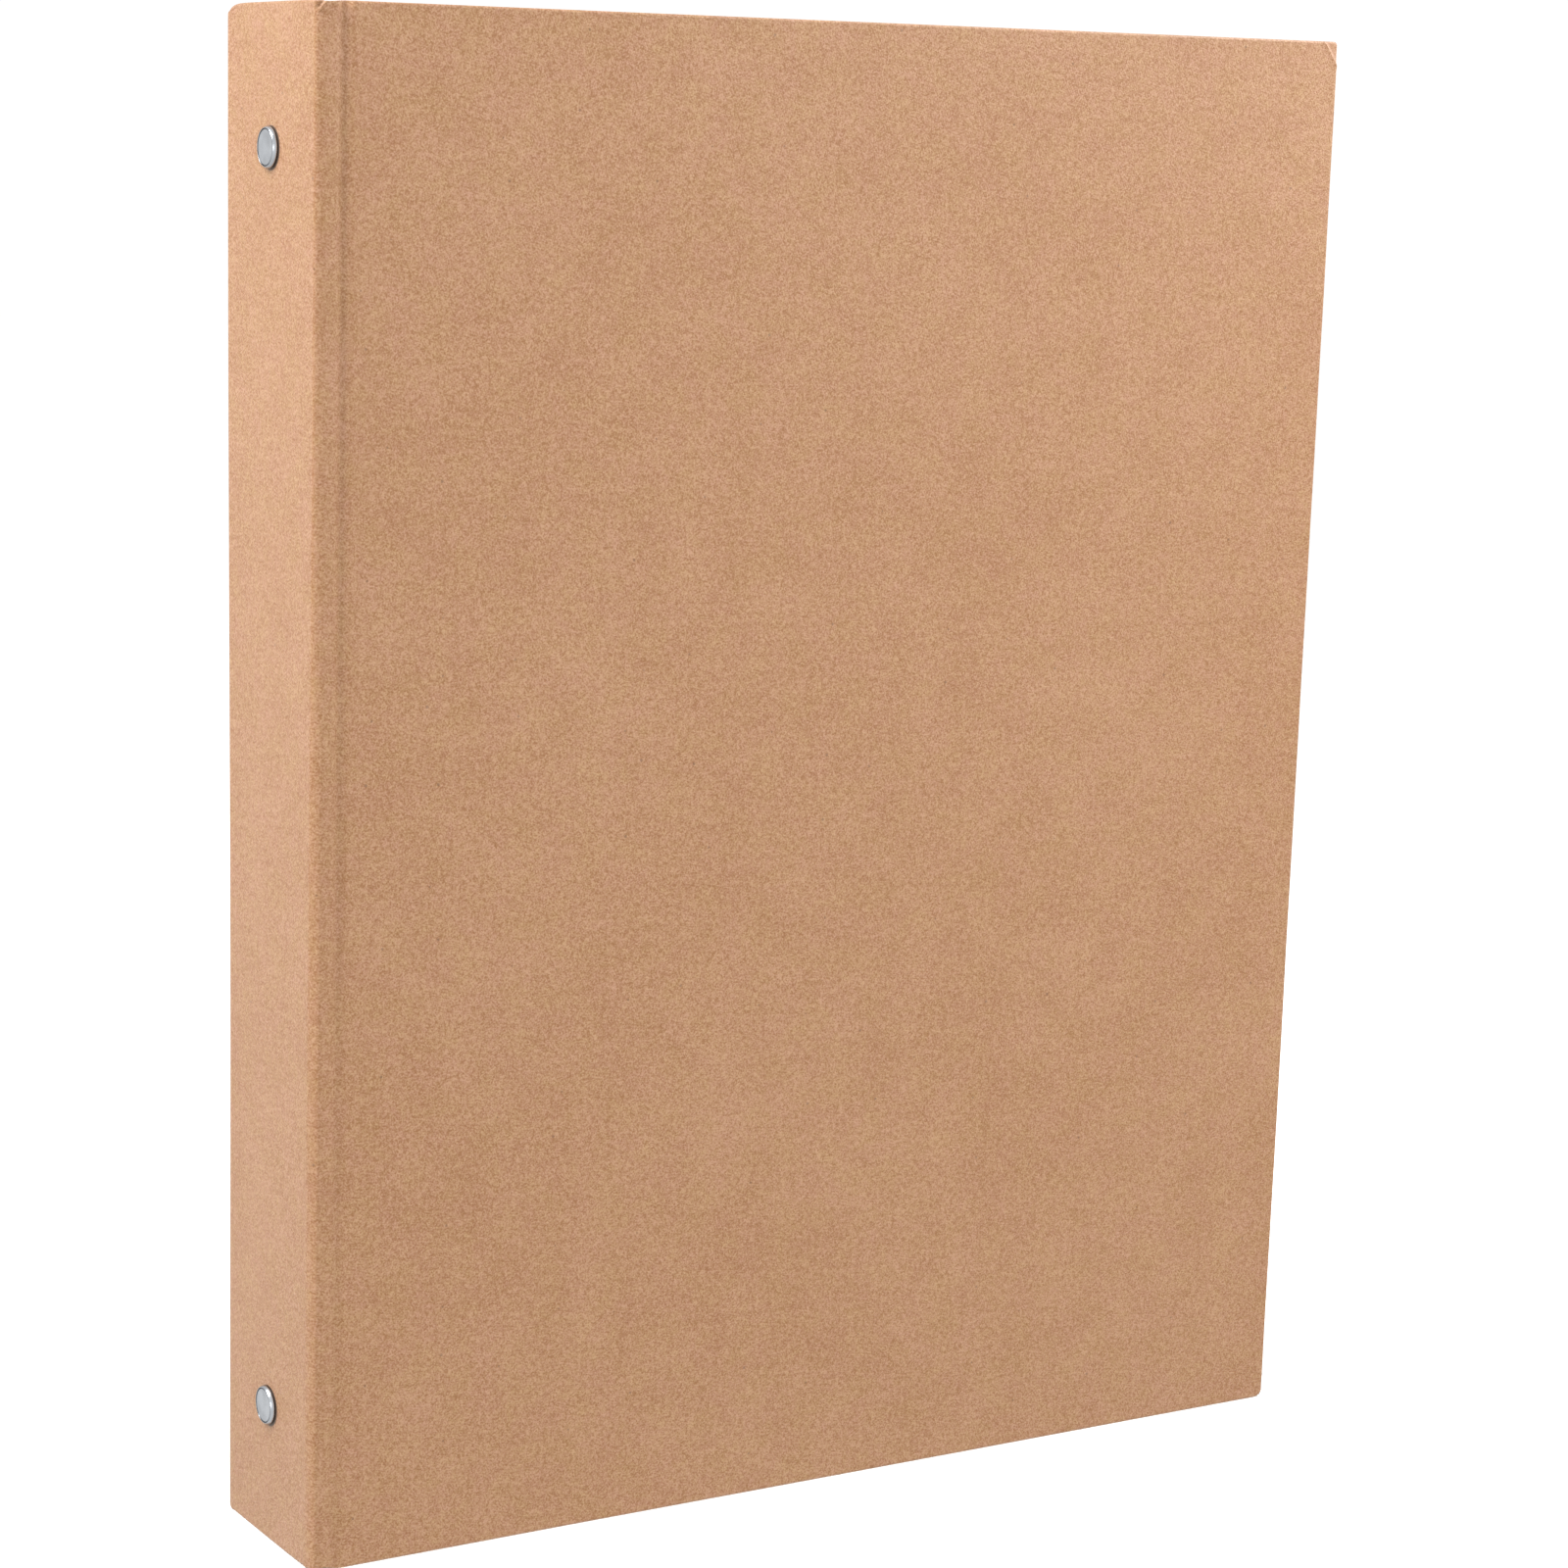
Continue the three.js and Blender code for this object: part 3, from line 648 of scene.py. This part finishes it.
for side, word in ((FRONT, "front"), (BACK, "back")):
    paper = folded_sheet(f"{word}_cover_paper", board_sections, side, kraft,
                         0, HEIGHT, EDGE_RADIUS, True)
    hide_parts(f"{word}_wrap", "spine_wrap")
    bend_with_cover(paper)

    lining_sheet = folded_sheet(f"{word}_cover_lining", lining_sections, side, lining,
                                LINER_MARGIN, HEIGHT - LINER_MARGIN, 0.08 * MM, False)
    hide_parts(f"{word}_liner", "spine_liner")
    bend_with_cover(lining_sheet)


# ---------- rivets ----------

# Profiles as (radius, height above the spine) in mm: the clinched end inside the album, from the shank's
# middle on, and the head outside, up to its dished middle.
RIVET_CLINCH = [
    (0.05, 0.45), (0.9, 0.4), (1.5, 0.1), (2.1, -0.05), (2.7, 0.1), (3.05, 0.5), (2.9, 0.85),
    (2.2, 0.95),
]
RIVET_HEAD = [
    (2.3, 0.02), (3.9, 0.03), (4.06, 0.1), (4.12, 0.28), (4.1, 0.5), (4.0, 0.75), (3.87, 0.98),
    (3.77, 1.08), (3.68, 1.05), (3.61, 0.88), (3.53, 0.87), (3.41, 1.0), (2.6, 0.98), (1.6, 0.92),
    (0.8, 0.88), (0.05, 0.87),
]
RIVET_GROOVE_RADIUS = 3.57  # of the groove inside the head's rim


def lathe(name, profile, centre, direction, material, segments=96):
    """Turns (radius, height) points round an axis through centre along direction."""
    axis = Vector(direction).normalized()
    turn = axis.to_track_quat("Z", "Y").to_matrix()
    vertices, faces = [], []
    for radius, height in profile:
        for i in range(segments):
            angle = 2 * math.pi * i / segments
            local = Vector((radius * math.cos(angle), radius * math.sin(angle), height))
            vertices.append(Vector(centre) + turn @ local)
    for ring in range(len(profile) - 1):
        for i in range(segments):
            a, b = ring * segments + i, ring * segments + (i + 1) % segments
            faces.append((a, b, b + segments, a + segments))
    faces.append(tuple(range(segments))[::-1])
    top = (len(profile) - 1) * segments
    faces.append(tuple(top + i for i in range(segments)))
    return mesh_object(name, vertices, faces, material)


def smooth_profile(points, steps=5):
    """A Catmull-Rom curve through (radius, height) points."""
    p = [np.array(points[0])] + [np.array(q, float) for q in points] + [np.array(points[-1])]
    out = []
    for i in range(1, len(p) - 2):
        for k in range(steps):
            t = k / steps
            out.append(tuple(0.5 * (2 * p[i] + (p[i + 1] - p[i - 1]) * t
                                    + (2 * p[i - 1] - 5 * p[i] + 4 * p[i + 1] - p[i + 2]) * t ** 2
                                    + (3 * p[i] - p[i - 1] - 3 * p[i + 1] + p[i + 2]) * t ** 3)))
    out.append(tuple(p[-2]))
    return out


def rivet_profile(clinch_height):
    """From the clinched end inside the album to the middle of the dished head, as (radius, height)."""
    shank = [(radius * MM, height * MM - clinch_height) for radius, height in RIVET_CLINCH]
    head = [(radius * MM, height * MM) for radius, height in RIVET_HEAD]
    return smooth_profile(shank) + smooth_profile(head)


def paint_recess_shade(rivet, centre):
    """Paints shade into the groove inside the head's rim and a contact shadow round its seat on the
    paper.
    """
    values = []
    for vertex in rivet.data.vertices:
        radius = math.hypot(vertex.co.y - centre[1], vertex.co.z - centre[2]) / MM
        height = (centre[0] - vertex.co.x) / MM
        groove = bump(radius - RIVET_GROOVE_RADIUS, 0.15) if height > 0.5 else 0.0
        seat = 1 - smoothstep(0.15, 0.42, height) if height > -0.3 else 0.0
        values.append(max(groove, seat))
    point_attribute(rivet, "painted_recess_shade", values)


for word in ("upper", "lower"):
    low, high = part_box(f"{word}_rivet")
    centre = (SPINE_X, 0, (low.z + high.z) / 2)
    profile = rivet_profile(high.x - SPINE_X - 0.1 * MM)
    rivet = lathe(f"{word}_spine_rivet", profile, centre, (-1, 0, 0), rivet_metal)
    paint_recess_shade(rivet, centre)
    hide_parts(f"{word}_rivet")
    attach(rivet, "spine")


# ---------- rings ----------

RING_RADIUS = 13.4 * MM
WIRE_RADIUS = 1.75 * MM
RING_LEG_Y = 8.2 * MM
RING_ARC = (-34, 90)  # degrees from the ring's widest point: where the leg joins the arc, and the seam
RING_ARC_POINTS = 64
RING_SEAM = 0.12 * MM  # half the gap between two closed halves, and the step at a half's end
RING_FOOT_X = 1.7 * MM  # from the low side of a half's CAD solid to the start of its leg
RING_LEG_RADII = [1.1 * MM, 1.55 * MM]
RING_CONE_RADII = [1.0 * MM, 0.5 * MM]
RING_CONE_TIP = -0.7 * MM  # how far the front halves' cones reach past the middle


def tube(name, route, radii, material, sides=32):
    """A round bar along a route of points in one upright plane, closed at both ends."""
    vertices, faces = [], []
    points = [Vector(p) for p in route]
    for i, point in enumerate(points):
        ahead = points[min(i + 1, len(points) - 1)] - points[max(i - 1, 0)]
        ahead.normalize()
        flat = Vector((0, 0, 1))
        out = ahead.cross(flat)
        for k in range(sides):
            angle = 2 * math.pi * k / sides
            vertices.append(point + radii[i] * (math.cos(angle) * out + math.sin(angle) * flat))
    for i in range(len(points) - 1):
        for k in range(sides):
            a, b = i * sides + k, i * sides + (k + 1) % sides
            faces.append((a, a + sides, b + sides, b))
    faces.append(tuple(range(sides)))
    top = (len(points) - 1) * sides
    faces.append(tuple(top + k for k in range(sides))[::-1])
    return mesh_object(name, vertices, faces, material)


def ring_half(side, word, number):
    """A smooth wire half ring: its leg, the arc, and a tip with a cone on the front half."""
    node = f"{word}_ring_half_{number}"
    low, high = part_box(node)
    centre_x, z = high.x - WIRE_RADIUS - RING_RADIUS, (low.z + high.z) / 2
    foot_x = low.x + RING_FOOT_X
    route = [(foot_x, RING_LEG_Y), (foot_x + 0.8 * MM, RING_LEG_Y + 0.2 * MM)]
    for degrees in np.linspace(*RING_ARC, RING_ARC_POINTS):
        angle = math.radians(degrees)
        route.append((centre_x + RING_RADIUS * math.sin(angle), RING_RADIUS * math.cos(angle)))
    tip = route.pop()
    route.append((tip[0], RING_SEAM))
    radii = RING_LEG_RADII + [WIRE_RADIUS] * (len(route) - 3) + [WIRE_RADIUS - RING_SEAM]
    if side == FRONT:
        route += [(tip[0], RING_SEAM - 0.02 * MM), (tip[0], RING_CONE_TIP)]
        radii += RING_CONE_RADII
    points = [(x, side * y, z) for x, y in route]
    half = tube(f"{word}_ring_wire_{number}", points, radii, steel)
    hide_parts(node)
    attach(half, f"{word}_ring_set")


for side, word in ((FRONT, "front"), (BACK, "back")):
    for number in (1, 2, 3, 4):
        ring_half(side, word, number)


# ---------- CAD pieces that stay, with better surfaces ----------

WORN_EDGE = 0.12 * MM
SHARP_ANGLE = math.radians(32)  # edges sharper than this are worn

for node_name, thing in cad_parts.items():
    if node_name.endswith("_board"):
        finish = grey_board
    elif node_name.endswith(("_wrap", "_liner", "_rivet")) or "_ring_half_" in node_name:
        continue
    else:
        finish = steel
        edge = thing.modifiers.new("worn_edges", "BEVEL")
        edge.width = WORN_EDGE
        edge.segments = 2
        edge.limit_method = "ANGLE"
        edge.angle_limit = SHARP_ANGLE
        edge.harden_normals = True
        thing.data.polygons.foreach_set("use_smooth", [True] * len(thing.data.polygons))
    thing.data.materials.clear()
    thing.data.materials.append(finish)


# ---------- floor, light and camera ----------

# Place and side in metres, and power in watts.
LIGHTS = {
    "key_left": ((-0.62, 0.07, 0.85), 0.5, 9.5),
    "front": ((0.35, -1.3, 0.05), 0.6, 2.5),
    "upper_right": ((0.45, -0.2, 0.55), 0.4, 3.9),
    "left_front": ((-1.0, -0.77, 0.25), 0.5, 2.0),
}
WORLD_STRENGTH = 1.04
FLOOR_REACH = 6  # metres, each way from the album
CAMERA_ANGLES = (-30.15, 11.37, 1.33)  # azimuth, elevation and roll in degrees
CAMERA_PLACE = (-300.5, -655.5, 291.07)  # mm from the foot of the corner between spine and front cover
CAMERA_LENS, CAMERA_SENSOR = 85.05, 36  # mm
CAMERA_SHIFT = (0.0759, 0.0622)


def area_light(name, place, size, power):
    """A square light that faces the album's middle."""
    data = bpy.data.lights.new(name, "AREA")
    data.shape = "SQUARE"
    data.size = size
    data.energy = power
    lamp = bpy.data.objects.new(name, data)
    lamp.location = place
    lamp.rotation_euler = (Vector((0, 0, MIDDLE_Z)) - Vector(place)).to_track_quat("-Z", "Y").to_euler()
    bpy.context.scene.collection.objects.link(lamp)


def studio():
    """A pale floor, an even white world and the soft lights."""
    n = Nodes("pale_floor")
    n.shader.inputs["Base Color"].default_value = (0.97, 0.97, 0.97, 1)
    n.shader.inputs["Roughness"].default_value = 0.9
    corners = [(x * FLOOR_REACH, y * FLOOR_REACH, 0) for x, y in ((-1, -1), (1, -1), (1, 1), (-1, 1))]
    floor = mesh_object("floor", corners, [(0, 1, 2, 3)], n.material)
    floor.visible_diffuse = False  # its brightness doesn't spill onto the album
    floor.visible_glossy = False
    world = bpy.data.worlds.new("studio")
    world.use_nodes = True
    background = world.node_tree.nodes["Background"]
    background.inputs["Color"].default_value = (1, 1, 1, 1)
    background.inputs["Strength"].default_value = WORLD_STRENGTH
    bpy.context.scene.world = world
    for name, (place, size, power) in LIGHTS.items():
        area_light(name, place, size, power)
    bpy.context.scene.view_settings.view_transform = "Standard"


def camera():
    """Stands where the photograph was taken from: left of the front cover, a little above the middle."""
    azimuth, elevation, roll = (math.radians(angle) for angle in CAMERA_ANGLES)
    level = math.cos(elevation)
    back = Vector((math.sin(azimuth) * level, -math.cos(azimuth) * level, math.sin(elevation)))
    right = Vector((math.cos(azimuth), math.sin(azimuth), 0))
    up = back.cross(right)
    rolled_right = math.cos(roll) * right + math.sin(roll) * up
    rolled_up = -math.sin(roll) * right + math.cos(roll) * up
    data = bpy.data.cameras.new("camera")
    data.sensor_width = CAMERA_SENSOR
    data.lens = CAMERA_LENS
    data.shift_x, data.shift_y = CAMERA_SHIFT
    thing = bpy.data.objects.new("camera", data)
    place = Vector((SPINE_X, -FACE, 0)) + Vector(CAMERA_PLACE) * MM
    turn = Matrix((rolled_right, rolled_up, back)).transposed().to_4x4()
    thing.matrix_world = Matrix.Translation(place) @ turn
    bpy.context.scene.collection.objects.link(thing)
    bpy.context.scene.camera = thing


studio()
camera()
